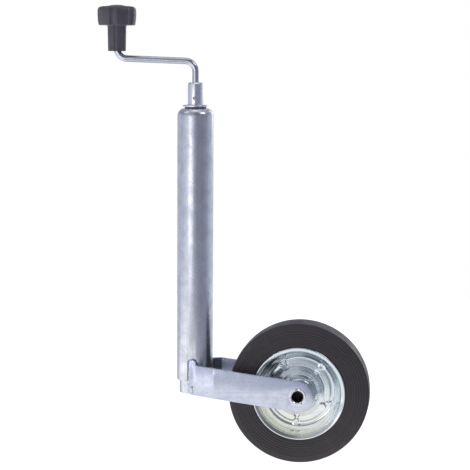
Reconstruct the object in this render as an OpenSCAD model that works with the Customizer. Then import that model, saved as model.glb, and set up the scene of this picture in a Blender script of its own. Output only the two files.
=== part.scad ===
// Trailer jack wheel: a clamped outer tube, a sliding inner tube wound by a
// screw spindle, a cranked handle on top and a solid-tyred wheel in a fork.
// +Z points up the tube, the crank points to -X and the wheel to +X.
// The origin is on the tube axis, halfway along the stretch that a clamp grips.

/* [Outer tube] */
// Outside diameter of the outer tube, which the clamp grips
tube_d = 48; // [47:0.5:50]
// Wall thickness of the outer tube
tube_wall = 3; // [2.5:0.1:3]
// Distance from the origin up to the closed top of the outer tube
tube_rise = 173; // [170:1:176]
// Distance from the origin down to the open end of the outer tube
tube_drop = 190; // [188:0.5:192]
// Radius of the rolled edge round the closed top
crown_r = 10; // [9:0.5:11]
// Width of the two locking notches at the open end
notch_w = 14; // [13.5:0.1:15]
// Height of the two locking notches
notch_h = 32; // [31.5:0.5:36]

/* [Inner tube] */
// Outside diameter of the sliding inner tube
inner_d = 41; // [40:0.5:41]
// Wall thickness of the inner tube
inner_wall = 2.5; // [2:0.1:3]
// Height of the inner tube's upper end when wound in
inner_rise = 148; // [140:1:150]
// Depth of the inner tube's lower end when wound in
inner_drop = 207.5; // [204:0.5:208]
// How far the inner tube can be wound out
lift = 220; // [150:5:225]

/* [Spindle] */
// Major diameter of the screw thread
thread_d = 16; // [14:0.5:16]
// Height of the spindle nut
nut_h = 28; // [20:1:30]
// Radial running clearance of the spindle in its nut and neck bush
running_gap = 0.08; // [0.03:0.01:0.1]

/* [Crank] */
// Distance from the spindle axis to the knob axis
crank_throw = 105; // [90:1:120]
// Diameter of the bent crank rod
rod_d = 8.8; // [8:0.1:9.5]
// Centreline radius of both bends in the crank rod
bend_r = 14; // [12:0.5:16]
// Height at which the rod's first bend would meet the arm's centreline
arm_z = 235; // [232:1:240]
// Slope of the crank arm, rising towards the knob, in degrees
arm_slope = 2; // [1:0.5:3]
// Diameter of the socket that joins the rod to the spindle
socket_d = 20.6; // [19.5:0.1:22]
// Height of the socket
socket_h = 29.6; // [28:0.2:32]

/* [Knob] */
// Widest diameter of the knob's head
knob_d = 51; // [48:1:54]
// Height of the knob's head
knob_head_h = 26.8; // [25:0.1:29]
// Diameter of the knob's sleeve under the head
sleeve_d = 24.8; // [24:0.1:26]
// Height of the sleeve
sleeve_h = 34; // [32:1:36]
// Number of finger grooves round the knob
grooves = 6; // [5:1:8]

/* [Fork] */
// Distance from the tube axis forward to the axle
hub_x = 141.5; // [138:0.5:146]
// Depth of the axle below the origin when wound in
hub_drop = 202.5; // [198:0.5:206]
// Thickness of the two fork arms
arm_t = 4; // [3:0.5:4]
// Height of the fork arms' strip
arm_w = 40.5; // [38:0.5:42]
// Distance between the fork arms' outer faces at the wheel
fork_w = 87.4; // [86:0.2:90]

/* [Wheel] */
// Outside diameter of the tyre
tyre_d = 188; // [180:1:190]
// Width of the tyre
tyre_w = 46; // [45:1:47]
// Outside diameter of the rim's lip
rim_d = 124; // [122:1:124]
// Thickness of the pressed rim halves
rim_t = 2; // [1.6:0.1:2]
// Number of rivets that hold the rim halves together
rim_rivets_n = 5; // [4:1:6]

/* [Hidden] */
$fn = 72;
// Small overlap that makes a cutter pass cleanly through a face
cut = 1;
// Assembly gap between pieces that are pressed or welded together
snug = 0.04;

// Outer tube
tube_r = tube_d / 2;
tube_in_r = tube_r - tube_wall;
crown_flat_r = tube_r - crown_r;
neck_hole_r = 10;
roof_z = tube_rise - tube_wall;

// Inner tube
inner_r = inner_d / 2;
inner_bore_r = inner_r - inner_wall;

// Thrust bearing, stacked down from the underside of the tube's closed top
screw_r = thread_d / 2;
race_bore_r = screw_r + 0.6;
race_r = 16.5;
race_h = 3.4;
ball_r = 2.5;
ball_n = 12;
ball_circle_r = 12.5;
ball_z = roof_z - race_h - ball_r + 0.5;
lower_race_top = ball_z - ball_r + 0.5;
cage_h = 2;
collar_r = 14;
collar_h = 4;
collar_top = lower_race_top - race_h + 0.3;
spindle_top = 191;
spindle_end = -112;
stop_r = 13;
stop_h = 8;
nut_top = inner_rise;
nut_bottom = inner_rise - nut_h;
stop_top = nut_bottom - lift - 0.3;
pin_r = 2;
nut_pin_r = 3;
nut_pin_depth = 2.6;

// Neck and socket
bush_flange_r = 13;
bush_flange_h = 1.4;
washer_r = 16.7;
washer_z = tube_rise + bush_flange_h + 0.3;
washer_h = 2.7;
socket_z = washer_z + washer_h;
socket_top = socket_z + socket_h;
socket_pin_z = 186.3;
socket_pin_r = 1.6;
rod_r = rod_d / 2;
rod_foot = spindle_top + 1;

// Crank path: up, over towards -X, and up again into the knob
bend_sweep = 90 - arm_slope;
bend_reach = bend_r * (1 - cos(bend_sweep));
first_bend_z = arm_z - bend_r * sin(bend_sweep);
arm_run = crank_throw - 2 * bend_reach;
arm_len = arm_run / cos(arm_slope);
second_bend_z = arm_z + arm_len * sin(arm_slope) + bend_r * sin(bend_sweep);
knob_x = -crank_throw;
// The rod is a trifle thicker round its bends, where the straight stretches end
bend_swell = 0.05;
let_in = 0.6;

// Knob, measured up from the sleeve's lower end
knob_z = 247.5;
head_z = knob_z + sleeve_h;
knob_top = head_z + knob_head_h;
knob_r = knob_d / 2;
sleeve_r = sleeve_d / 2;
rod_tip = knob_top - 9.5;
chamber_z = rod_tip - 5;
chamber_r = 10;
cap_r = 13;
cap_seat_z = knob_top - 4.2;
cap_h = 2.6;
groove_r = 8;
groove_depth = 2.4;
flute_r = 3;
flute_depth = 1.1;
groove_turn = -92.5;

// Fork
hub_z = -hub_drop;
arm_out_y = fork_w / 2;
arm_in_y = arm_out_y - arm_t;
nose_x = -5.3;
nose_r = 5.3;
nose_top = -160.2;
flare_x = 1;
crease_x = 30.4;
nose_out_y = inner_r + arm_t;
flare_turn = atan((arm_out_y - nose_out_y) / (crease_x - flare_x));
flare_in_x = flare_x + arm_t * tan(flare_turn / 2);
crease_in_x = crease_x + arm_t * tan(flare_turn / 2);
arm_slope_down = 7.35;
arm_half = arm_w / 2;
arm_bottom_z = -208;
arm_corner_r = 6;

// Axle and hub
axle_r = 10;
axle_bore_r = 7.5;
axle_flare_r = 11.3;
axle_flare_h = 1.3;
hub_r = 15;
hub_bore_r = 12.5;
hub_half = 33.5;
bush_flange_out_r = 14.5;
hub_bush_flange_h = 2;
hub_bush_l = 18;
spacer_r = 15.5;
spacer_in_a = hub_half + hub_bush_flange_h + 0.3;

// Wheel
tyre_r = tyre_d / 2;
tyre_half = tyre_w / 2;
rim_r = rim_d / 2;
rivet_circle_r = 40.5;
rivet_r = 2;
rivet_head_r = 3.2;
rivet_head_h = 1.5;
rivet_turn = 48.6;

// Front face of a rim half as radius and height over the wheel's middle plane:
// hub collar, dome, raised ring, flat for the rivets, edge ridge, bowl and rolled lip
rim_face = concat(
    [[hub_r + snug, 33], [18, 33], [21, 31], [23.3, 27], [26.5, 13], [28, 7], [29.4, 4]],
    [[30.6, 3], [31.6, 3], [32.4, 3.8], [36, 3.8], [37.2, rim_t], [44, rim_t]],
    [for (a = [15 : 15 : 75]) [44.5 + 11.5 * sin(a), 2 + 19 * (1 - cos(a))]],
    [[56, 20.5]],
    [for (a = [150 : -30 : 0]) [rim_r - 3.1 + 3.1 * cos(a), 21.3 + 3.1 * sin(a)]]
);

// Points on an arc from one angle to another
function arc(c, r, from, to, n) =
    [for (i = [0 : n]) let (a = from + (to - from) * i / n) [c[0] + r * cos(a), c[1] + r * sin(a)]];

// Unit normal on the right-hand side of the way from p to q
function side(p, q) = let (d = (q - p) / norm(q - p)) [d[1], -d[0]];

// One point of an outline moved t to its right-hand side, mitred at the corner
function moved(pts, i, t) =
    let (
        n1 = side(pts[max(i - 1, 0)], pts[max(i, 1)]),
        n2 = side(pts[min(i, len(pts) - 2)], pts[min(i + 1, len(pts) - 1)]),
        m = (n1 + n2) / norm(n1 + n2)
    )
    pts[i] + m * t / (m * n1);

function shifted(pts, t) = [for (i = [0 : len(pts) - 1]) moved(pts, i, t)];

// A sheet of thickness t behind an outline
function sheet(pts, t) =
    let (back = shifted(pts, t)) concat(pts, [for (i = [len(pts) - 1 : -1 : 0]) back[i]]);

// A ring round Z, given by its bore, outside radius and its two heights
module ring(bore, r, z0, z1) {
    translate([0, 0, z0])
        difference() {
            cylinder(r = r, h = z1 - z0);
            translate([0, 0, -cut]) cylinder(r = bore, h = z1 - z0 + 2 * cut);
        }
}

// Puts Z on the axle, with +Z pointing to the front face of the wheel (-Y)
module on_axle() {
    translate([hub_x, 0, hub_z]) rotate([90, 0, 0]) children();
}

// Repeats the front fork side as the rear one
module rear() {
    mirror([0, 1, 0]) children();
}

// ---- Outer tube and what stays with it

module outer_tube() {
    outline = concat(
        [[tube_r, -tube_drop]],
        arc([crown_flat_r, tube_rise - crown_r], crown_r, 0, 90, 9),
        [[neck_hole_r, tube_rise], [neck_hole_r, roof_z]],
        arc([crown_flat_r, tube_rise - crown_r], crown_r - tube_wall, 90, 0, 9),
        [[tube_in_r, -tube_drop]]
    );
    color([0.72, 0.75, 0.80])
        difference() {
            rotate_extrude() polygon(outline);
            translate([0, 0, -tube_drop]) rotate([90, 0, 0])
                linear_extrude(height = 2 * tube_r + 2 * cut, center = true)
                    notch_outline();
        }
}

// A slot open at the bottom, with a half-round top
module notch_outline() {
    translate([0, notch_h - notch_w / 2]) circle(d = notch_w);
    translate([-notch_w / 2, -cut]) square([notch_w, notch_h - notch_w / 2 + cut]);
}

module neck_bush() {
    color([0.12, 0.12, 0.13])
        difference() {
            union() {
                translate([0, 0, roof_z]) cylinder(r = neck_hole_r - snug, h = tube_wall + cut);
                translate([0, 0, tube_rise]) cylinder(r = bush_flange_r, h = bush_flange_h);
            }
            translate([0, 0, roof_z - cut])
                cylinder(r = screw_r + running_gap, h = tube_wall + bush_flange_h + 2 * cut);
        }
}

// Ring with a ball groove in one face
module race(z0, z1, groove_tube_r, edge_cut) {
    outline = [
        [race_bore_r, z0], [race_r, z0], [race_r, z1 - edge_cut],
        [race_r - 1.5 * edge_cut, z1], [race_bore_r, z1]
    ];
    color([0.62, 0.63, 0.66])
        difference() {
            rotate_extrude() polygon(outline);
            translate([0, 0, ball_z])
                rotate_extrude() translate([ball_circle_r, 0]) circle(r = groove_tube_r);
        }
}

module upper_race() {
    race(roof_z - race_h, roof_z, ball_r + 0.3, 1.8);
}

// ---- Spindle, bearing and crank, which turn together

module spindle() {
    color([0.60, 0.62, 0.66])
        difference() {
            union() {
                translate([0, 0, spindle_end])
                    cylinder(r = screw_r, h = spindle_top - spindle_end);
                translate([0, 0, collar_top - collar_h]) cylinder(r = collar_r, h = collar_h);
            }
            cross_hole(socket_pin_z, socket_pin_r);
            cross_hole(stop_top - stop_h / 2, pin_r);
        }
}

// Hole along Y through the spindle for a pin
module cross_hole(z, r) {
    translate([0, 0, z]) rotate([90, 0, 0])
        cylinder(r = r + snug, h = 4 * screw_r, center = true);
}

module lower_race() {
    race(collar_top, lower_race_top, ball_r + 0.1, 0);
}

module bearing_cage() {
    color([0.75, 0.68, 0.45])
        difference() {
            ring(race_bore_r + 0.4, race_r - 0.6, ball_z - cage_h / 2, ball_z + cage_h / 2);
            each_ball() cylinder(r = ball_r - snug, h = 4 * ball_r, center = true);
        }
}

module each_ball() {
    for (i = [0 : ball_n - 1])
        rotate(360 / ball_n * i) translate([ball_circle_r, 0, ball_z]) children();
}

module bearing_balls() {
    color([0.80, 0.81, 0.83]) each_ball() sphere(r = ball_r);
}

module stop_collar() {
    color([0.55, 0.57, 0.60])
        difference() {
            ring(screw_r + snug, stop_r, stop_top - stop_h, stop_top);
            translate([0, 0, stop_top - stop_h / 2]) rotate([90, 0, 0])
                cylinder(r = pin_r + snug, h = 4 * stop_r, center = true);
        }
}

module stop_pin() {
    color([0.45, 0.46, 0.48])
        translate([0, 0, stop_top - stop_h / 2]) rotate([90, 0, 0])
            cylinder(r = pin_r, h = 2 * stop_r, center = true);
}

module top_washer() {
    color([0.82, 0.84, 0.88]) ring(screw_r + snug, washer_r, washer_z, washer_z + washer_h);
}

module crank_socket() {
    edge = 2;
    outline = [
        [0, socket_z], [socket_d / 2, socket_z], [socket_d / 2, socket_top - edge],
        [socket_d / 2 - 0.6, socket_top - 0.6], [socket_d / 2 - edge, socket_top], [0, socket_top]
    ];
    color([0.84, 0.86, 0.90])
        difference() {
            rotate_extrude() polygon(outline);
            translate([0, 0, socket_z - cut])
                cylinder(r = screw_r + snug, h = rod_foot - socket_z - 0.4 + cut);
            translate([0, 0, rod_foot - 0.5]) cylinder(r = rod_r + snug, h = socket_h);
            translate([0, 0, socket_pin_z]) rotate([90, 0, 0])
                cylinder(r = socket_pin_r + snug, h = 2 * socket_d, center = true);
        }
}

// Rolled spring pin with a slit along it
module socket_pin() {
    slit = 0.7;
    color([0.35, 0.36, 0.38])
        translate([0, 0, socket_pin_z]) rotate([90, 0, 0])
            difference() {
                cylinder(r = socket_pin_r, h = socket_d + 1, center = true);
                cylinder(r = socket_pin_r * 0.5, h = 2 * socket_d, center = true);
                translate([-slit / 2, 0, -socket_d]) cube([slit, 2 * socket_pin_r, 2 * socket_d]);
            }
}

// Round bar bent through part of a circle, from straight up towards -X
module rod_bend() {
    rotate([90, 0, 0])
        rotate_extrude(angle = bend_sweep) translate([bend_r, 0]) circle(r = rod_r + bend_swell);
}

// Three straight stretches, each let a little way into the bends next to it
module crank_rod() {
    color([0.84, 0.86, 0.90]) {
        translate([0, 0, rod_foot]) cylinder(r = rod_r, h = first_bend_z - rod_foot + let_in);
        translate([-bend_r, 0, first_bend_z]) rod_bend();
        translate([-bend_reach, 0, arm_z]) rotate([0, arm_slope - 90, 0])
            translate([0, 0, -let_in]) cylinder(r = rod_r, h = arm_len + 2 * let_in);
        translate([knob_x + bend_r, 0, second_bend_z]) rotate([0, 180, 0]) rod_bend();
        translate([knob_x, 0, second_bend_z - let_in])
            cylinder(r = rod_r, h = rod_tip - second_bend_z + let_in);
    }
}

module knob_retainer() {
    color([0.55, 0.57, 0.60])
        translate([knob_x, 0, 0]) ring(rod_r + snug, 8, chamber_z + 0.4, chamber_z + 1.6);
}

// ---- Knob, which spins on the end of the rod

module knob_body() {
    head_outline = concat(
        [[0, head_z], [knob_r - 1.3, head_z], [knob_r - 0.5, head_z + 6], [knob_r, head_z + 13]],
        arc([knob_r - 5.6, knob_top - 7.8], 5.6, 0, 75, 5),
        [[cap_r + snug, knob_top - 1.6], [0, knob_top - 1.6]]
    );
    color([0.20, 0.19, 0.21])
        translate([knob_x, 0, 0])
            difference() {
                union() {
                    rotate_extrude() polygon(head_outline);
                    translate([0, 0, knob_z])
                        cylinder(r1 = sleeve_r - 0.6, r2 = sleeve_r, h = sleeve_h + cut);
                }
                translate([0, 0, knob_z - cut]) cylinder(r = rod_r + running_gap, h = 80);
                translate([0, 0, knob_z - cut]) cylinder(r = 6.8, h = 7 + cut);
                translate([0, 0, chamber_z]) cylinder(r = chamber_r, h = 30);
                translate([0, 0, cap_seat_z]) cylinder(r = cap_r + snug, h = 30);
                each_groove() {
                    translate([knob_r + groove_r - groove_depth, 0, head_z - cut])
                        cylinder(r = groove_r, h = knob_head_h + 2 * cut);
                    translate([sleeve_r + flute_r - flute_depth, 0, knob_z - cut])
                        cylinder(r = flute_r, h = sleeve_h + cut);
                }
            }
}

module each_groove() {
    for (i = [0 : grooves - 1]) rotate(groove_turn + 360 / grooves * i) children();
}

module knob_cap() {
    outline = [
        [0, cap_seat_z], [cap_r, cap_seat_z], [cap_r, cap_seat_z + cap_h],
        [cap_r - 5, knob_top - 0.4], [0, knob_top]
    ];
    color([0.26, 0.26, 0.27]) translate([knob_x, 0, 0]) rotate_extrude() polygon(outline);
}

// ---- Inner tube and fork, which slide together

module inner_tube() {
    color([0.74, 0.77, 0.82])
        difference() {
            ring(inner_bore_r, inner_r, -inner_drop, inner_rise);
            each_nut_pin() cylinder(r = nut_pin_r + snug, h = 2 * inner_r);
        }
}

// Four pin places round the nut, each with Z pointing outwards from its depth in the nut
module each_nut_pin() {
    for (i = [0 : 3])
        translate([0, 0, (nut_top + nut_bottom) / 2]) rotate([0, 90, 45 + 90 * i])
            translate([0, 0, inner_bore_r - nut_pin_depth]) children();
}

module spindle_nut() {
    color([0.60, 0.58, 0.50])
        difference() {
            ring(screw_r + running_gap, inner_bore_r - snug, nut_bottom, nut_top);
            each_nut_pin() cylinder(r = nut_pin_r + snug, h = 2 * inner_r);
        }
}

module nut_pins() {
    color([0.60, 0.62, 0.65])
        intersection() {
            each_nut_pin() translate([0, 0, snug]) cylinder(r = nut_pin_r, h = inner_r);
            translate([0, 0, nut_bottom]) cylinder(r = inner_r - 0.1, h = nut_h);
        }
}

// The front arm seen from above: a nose on the tube, a flare and a straight stretch
module arm_plan() {
    end_x = hub_x + arm_w;
    polygon([
        [nose_x - cut, -inner_r], [flare_in_x, -inner_r], [crease_in_x, -arm_in_y],
        [end_x, -arm_in_y], [end_x, -arm_out_y], [crease_x, -arm_out_y],
        [flare_x, -nose_out_y], [nose_x - cut, -nose_out_y]
    ]);
}

// The arm seen from the side: a level root with a rounded nose, then the slope to the axle
module arm_side() {
    up = arm_half / cos(arm_slope_down) + (hub_x - crease_x) * tan(arm_slope_down);
    lean = [arm_half * sin(arm_slope_down), arm_half * cos(arm_slope_down)];
    side_bar([nose_x + nose_r, nose_top - nose_r], nose_r);
    side_bar([hub_x, hub_z], arm_half);
    side_bar([nose_x + arm_corner_r, arm_bottom_z + arm_corner_r], arm_corner_r);
    rotate([90, 0, 0]) linear_extrude(height = fork_w + 2 * cut, center = true)
        polygon([
            [nose_x, nose_top - nose_r], [nose_x + 1.9 * nose_r, nose_top - nose_r],
            [crease_x, hub_z + up], [hub_x + lean[0], hub_z + lean[1]],
            [hub_x - lean[0], hub_z - lean[1]], [crease_x, arm_bottom_z],
            [nose_x + arm_corner_r, arm_bottom_z], [nose_x, arm_bottom_z + arm_corner_r]
        ]);
}

// A round bar across the fork, at a place given as X and Z
module side_bar(place, r) {
    translate([place[0], 0, place[1]]) rotate([90, 0, 0])
        cylinder(r = r, h = fork_w + 2 * cut, center = true);
}

module fork_arm() {
    color([0.72, 0.76, 0.84])
        difference() {
            intersection() {
                translate([0, 0, arm_bottom_z - 2 * arm_w])
                    linear_extrude(height = 4 * arm_w) arm_plan();
                union() arm_side();
            }
            on_axle() cylinder(r = axle_r + snug, h = fork_w + 2 * cut, center = true);
        }
}

module fork_arm_front() {
    fork_arm();
}

module fork_arm_rear() {
    rear() fork_arm();
}

// A weld bead of one length standing in the corner between tube and arm
module bead(x, y, z0, z1, r) {
    translate([x, y, z0]) cylinder(r = r, h = z1 - z0);
    translate([x, y, z0]) sphere(r = r);
    translate([x, y, z1]) sphere(r = r);
}

module weld_pair() {
    bead(nose_x - 0.9, -(inner_r - 0.1), -203.5, -194.5, 1.5);
    bead(flare_in_x + 3.4, -(inner_r + 0.4), -204.5, -194.5, 1.9);
}

module weld_beads() {
    color([0.80, 0.82, 0.86]) {
        weld_pair();
        rear() weld_pair();
    }
}

// Hollow axle, flared over the arms at both ends and staked in three places
module axle() {
    half = arm_out_y;
    color([0.75, 0.78, 0.83])
        on_axle()
            difference() {
                union() {
                    cylinder(r = axle_r, h = 2 * half, center = true);
                    for (s = [0, 1]) mirror([0, 0, s])
                        translate([0, 0, half]) cylinder(r = axle_flare_r, h = axle_flare_h);
                }
                cylinder(r = axle_bore_r, h = 4 * half, center = true);
                for (s = [0, 1]) mirror([0, 0, s]) for (a = [90, 180, 310])
                    rotate(a) translate([axle_flare_r + 0.6, 0, half + 0.3])
                        cylinder(r = 1.6, h = axle_flare_h);
            }
}

module axle_spacers() {
    color([0.66, 0.69, 0.74])
        on_axle()
            for (s = [0, 1]) mirror([0, 0, s])
                ring(axle_r + snug, spacer_r, spacer_in_a, arm_in_y - snug);
}

// ---- Wheel

module hub_tube() {
    color([0.62, 0.65, 0.68]) on_axle() ring(hub_bore_r, hub_r, -hub_half, hub_half);
}

// Flanged plain bush for one end of the hub
module hub_bush() {
    difference() {
        union() {
            translate([0, 0, hub_half - hub_bush_l])
                cylinder(r = hub_bore_r - snug, h = hub_bush_l + cut);
            translate([0, 0, hub_half]) cylinder(r = bush_flange_out_r, h = hub_bush_flange_h);
        }
        cylinder(r = axle_r + running_gap, h = 2 * hub_half);
    }
}

module bush_front() {
    color([0.85, 0.84, 0.78]) on_axle() hub_bush();
}

module bush_rear() {
    color([0.85, 0.84, 0.78]) on_axle() mirror([0, 0, 1]) hub_bush();
}

module each_rivet() {
    for (i = [0 : rim_rivets_n - 1])
        rotate(rivet_turn + 360 / rim_rivets_n * i) translate([rivet_circle_r, 0, 0]) children();
}

// One pressed half of the rim
module rim_half() {
    difference() {
        rotate_extrude() polygon(sheet(rim_face, rim_t));
        each_rivet() translate([0, 0, -cut]) cylinder(r = rivet_r + snug, h = 10);
    }
}

module rim_front() {
    color([0.78, 0.82, 0.80]) on_axle() rim_half();
}

module rim_rear() {
    color([0.78, 0.82, 0.80]) on_axle() mirror([0, 0, 1]) rim_half();
}

module rim_rivets() {
    color([0.82, 0.84, 0.86])
        on_axle()
            each_rivet() {
                cylinder(r = rivet_r, h = 2 * rim_t, center = true);
                for (s = [0, 1]) mirror([0, 0, s])
                    translate([0, 0, rim_t]) cylinder(r = rivet_head_r, h = rivet_head_h);
            }
}

// Solid rubber ring, seated in the bowl that the rim halves make
module tyre() {
    seat = shifted([for (p = rim_face) if (p[0] > 47 && p[1] < 21) p], rim_t + 0.1);
    half_section = concat(
        [[48, 0]],
        seat,
        [[rim_r + 0.3, 20.4], [rim_r + 0.3, tyre_half]],
        [[tyre_r - 3.2, tyre_half], [tyre_r - 1, tyre_half - 1.8], [tyre_r - 0.3, tyre_half - 5]],
        [[tyre_r, 0]]
    );
    color([0.17, 0.16, 0.17])
        on_axle() {
            rotate_extrude() polygon(half_section);
            mirror([0, 0, 1]) rotate_extrude() polygon(half_section);
        }
}

outer_tube();
neck_bush();
upper_race();
spindle();
lower_race();
bearing_cage();
bearing_balls();
stop_collar();
stop_pin();
top_washer();
crank_socket();
socket_pin();
crank_rod();
knob_retainer();
knob_body();
knob_cap();
inner_tube();
spindle_nut();
nut_pins();
fork_arm_front();
fork_arm_rear();
weld_beads();
axle();
axle_spacers();
hub_tube();
bush_front();
bush_rear();
rim_front();
rim_rear();
rim_rivets();
tyre();
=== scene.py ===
import bpy
import bmesh
import math
from mathutils import Matrix, Quaternion, Vector


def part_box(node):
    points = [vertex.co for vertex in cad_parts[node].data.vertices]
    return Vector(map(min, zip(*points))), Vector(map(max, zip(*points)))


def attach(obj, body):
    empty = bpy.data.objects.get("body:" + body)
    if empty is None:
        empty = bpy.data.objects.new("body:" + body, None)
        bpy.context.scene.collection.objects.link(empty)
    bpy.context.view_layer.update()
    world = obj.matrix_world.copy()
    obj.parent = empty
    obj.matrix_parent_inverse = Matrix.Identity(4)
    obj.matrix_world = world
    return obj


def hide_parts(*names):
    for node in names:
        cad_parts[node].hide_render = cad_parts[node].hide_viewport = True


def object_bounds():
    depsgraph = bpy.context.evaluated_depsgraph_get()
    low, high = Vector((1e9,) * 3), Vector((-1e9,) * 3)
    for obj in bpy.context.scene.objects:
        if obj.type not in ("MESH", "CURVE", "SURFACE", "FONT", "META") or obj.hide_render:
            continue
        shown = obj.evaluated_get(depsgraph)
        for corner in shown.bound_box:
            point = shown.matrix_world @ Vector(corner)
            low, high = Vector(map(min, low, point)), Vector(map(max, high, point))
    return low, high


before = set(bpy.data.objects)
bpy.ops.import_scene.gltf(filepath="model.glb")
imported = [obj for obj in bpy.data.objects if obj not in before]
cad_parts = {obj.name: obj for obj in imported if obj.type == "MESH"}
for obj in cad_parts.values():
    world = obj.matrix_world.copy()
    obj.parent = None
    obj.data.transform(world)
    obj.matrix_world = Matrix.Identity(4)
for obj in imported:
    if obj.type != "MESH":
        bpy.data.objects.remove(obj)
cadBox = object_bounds()
print("frame loaded:", len(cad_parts), "nodes")

# each node's box, in millimetres
nodeBoxes = {node: tuple(corner * 1000 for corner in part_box(node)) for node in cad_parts}


def nodeBox(node):
    return nodeBoxes[node]


hub = sum(nodeBox("axle"), Vector()) / 2
knobMiddle = sum(nodeBox("knob_cap"), Vector()) / 2
onTube = Matrix.Identity(4)
onKnob = Matrix.Translation((knobMiddle.x, knobMiddle.y, 0))
# turns local +Z to the front
upright = Matrix.Rotation(math.radians(90), 4, "X")
# local +Z comes out of the wheel's front face
onAxle = Matrix.Translation(hub) @ upright
flipped = Matrix.Diagonal((1, 1, -1, 1))


def arc(cx, cy, radius, start, end, steps):
    # points on an arc, angles in degrees
    points = []
    for i in range(steps + 1):
        angle = math.radians(start + (end - start) * i / steps)
        points.append(Vector((cx + radius * math.cos(angle), cy + radius * math.sin(angle))))
    return points


def roundedOutline(corners, closed=True, steps=4):
    # corners are (x, y, radius) and each turns into a small curve
    points = []
    for i, (x, y, radius) in enumerate(corners):
        here = Vector((x, y))
        atEnd = not closed and i in (0, len(corners) - 1)
        if radius <= 0 or atEnd:
            points.append(here)
            continue
        back = Vector(corners[i - 1][:2]) - here
        onward = Vector(corners[(i + 1) % len(corners)][:2]) - here
        opening = back.angle(onward)
        if opening > 3.1:
            points.append(here)
            continue
        reach = min(radius / math.tan(opening / 2), 0.48 * back.length, 0.48 * onward.length)
        start = here + back.normalized() * reach
        end = here + onward.normalized() * reach
        for s in range(steps + 1):
            t = s / steps
            points.append(start * (1 - t) ** 2 + here * (2 * t * (1 - t)) + end * t ** 2)
    return points


def lathe(outline, segments=96, closed=True, shape=None):
    # turns (radius, height) points round Z; shape(radius, height, angle) may move each point
    bm = bmesh.new()
    rings = []
    for radius, height in outline:
        if radius < 1e-4:
            rings.append([bm.verts.new((0, 0, height))])
            continue
        ring = []
        for i in range(segments):
            angle = math.tau * i / segments
            r, z = shape(radius, height, angle) if shape else (radius, height)
            ring.append(bm.verts.new((r * math.cos(angle), r * math.sin(angle), z)))
        rings.append(ring)
    following = rings[1:] + (rings[:1] if closed else [])
    for a, b in zip(rings, following):
        for i in range(segments):
            j = (i + 1) % segments
            corners = [a[i % len(a)], a[j % len(a)], b[j % len(b)], b[i % len(b)]]
            corners = list(dict.fromkeys(corners))
            if len(corners) > 2:
                bm.faces.new(corners)
    return bm


def rod(radius, reach, segments):
    # a plain round cutter from -reach to reach along Z
    outline = [Vector((0, -reach)), Vector((radius, -reach)), Vector((radius, reach)), Vector((0, reach))]
    return lathe(outline, segments, False)


def sweep(path, radius, sides=28):
    # a round bar along a path that stays in the XZ plane, with slightly chamfered ends
    bm = bmesh.new()
    rings = []
    for i, point in enumerate(path):
        ahead = path[min(i + 1, len(path) - 1)] - path[max(i - 1, 0)]
        across = Vector((0, 1, 0)).cross(ahead).normalized()
        size = radius * (0.86 if i in (0, len(path) - 1) else 1)
        ring = []
        for s in range(sides):
            angle = math.tau * s / sides
            outward = across * math.cos(angle) + Vector((0, math.sin(angle), 0))
            ring.append(bm.verts.new(point + size * outward))
        rings.append(ring)
    for a, b in zip(rings, rings[1:]):
        for i in range(sides):
            j = (i + 1) % sides
            bm.faces.new((a[i], a[j], b[j], b[i]))
    bm.faces.new(rings[0])
    bm.faces.new(rings[-1])
    return bm


def extruded(outline, depth):
    # a prism from an outline in (x, y), standing from z = 0 to depth
    bm = bmesh.new()
    low = [bm.verts.new((x, y, 0)) for x, y in outline]
    high = [bm.verts.new((x, y, depth)) for x, y in outline]
    bm.faces.new(low)
    bm.faces.new(high)
    for i in range(len(low)):
        j = (i + 1) % len(low)
        bm.faces.new((low[i], low[j], high[j], high[i]))
    bmesh.ops.recalc_face_normals(bm, faces=bm.faces)
    return bm


def linked(name, data):
    item = bpy.data.objects.new(name, data)
    bpy.context.scene.collection.objects.link(item)
    return item


def meshFrom(name, bm):
    mesh = bpy.data.meshes.new(name)
    bm.to_mesh(mesh)
    bm.free()
    return mesh


def cutBy(bm, cutters):
    # takes each cutter's solid out of bm and returns the result as a new bmesh
    solids = []
    for solid in [bm] + cutters:
        bmesh.ops.recalc_face_normals(solid, faces=solid.faces)
        solids.append(linked("cutSolid", meshFrom("cutSolid", solid)))
    holder = solids[0]
    for tool in solids[1:]:
        modifier = holder.modifiers.new("cut", "BOOLEAN")
        modifier.object = tool
        modifier.operation = "DIFFERENCE"
        modifier.solver = "EXACT"
    bpy.context.view_layer.update()
    shown = holder.evaluated_get(bpy.context.evaluated_depsgraph_get())
    result = bmesh.new()
    result.from_mesh(shown.to_mesh())
    shown.to_mesh_clear()
    for extra in solids:
        bpy.data.objects.remove(extra)
    return result


def roundEdges(bm, wanted, width, segments=3):
    # rounds the sharp edges for which wanted(edge) holds
    bmesh.ops.remove_doubles(bm, verts=bm.verts, dist=1e-4)
    edges = []
    for edge in bm.edges:
        if len(edge.link_faces) == 2 and edge.calc_face_angle(0) > math.radians(40) and wanted(edge):
            edges.append(edge)
    bmesh.ops.bevel(bm, geom=edges, offset=width, offset_type="OFFSET", segments=segments,
                    profile=0.5, affect="EDGES", clamp_overlap=True)
    return bm


def joined(parts):
    # several bmeshes as one
    whole = bmesh.new()
    for part in parts:
        mesh = meshFrom("joinHolder", part)
        whole.from_mesh(mesh)
        bpy.data.meshes.remove(mesh)
    return whole


def placed(bm, matrix):
    bm.transform(matrix)
    return bm


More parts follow.
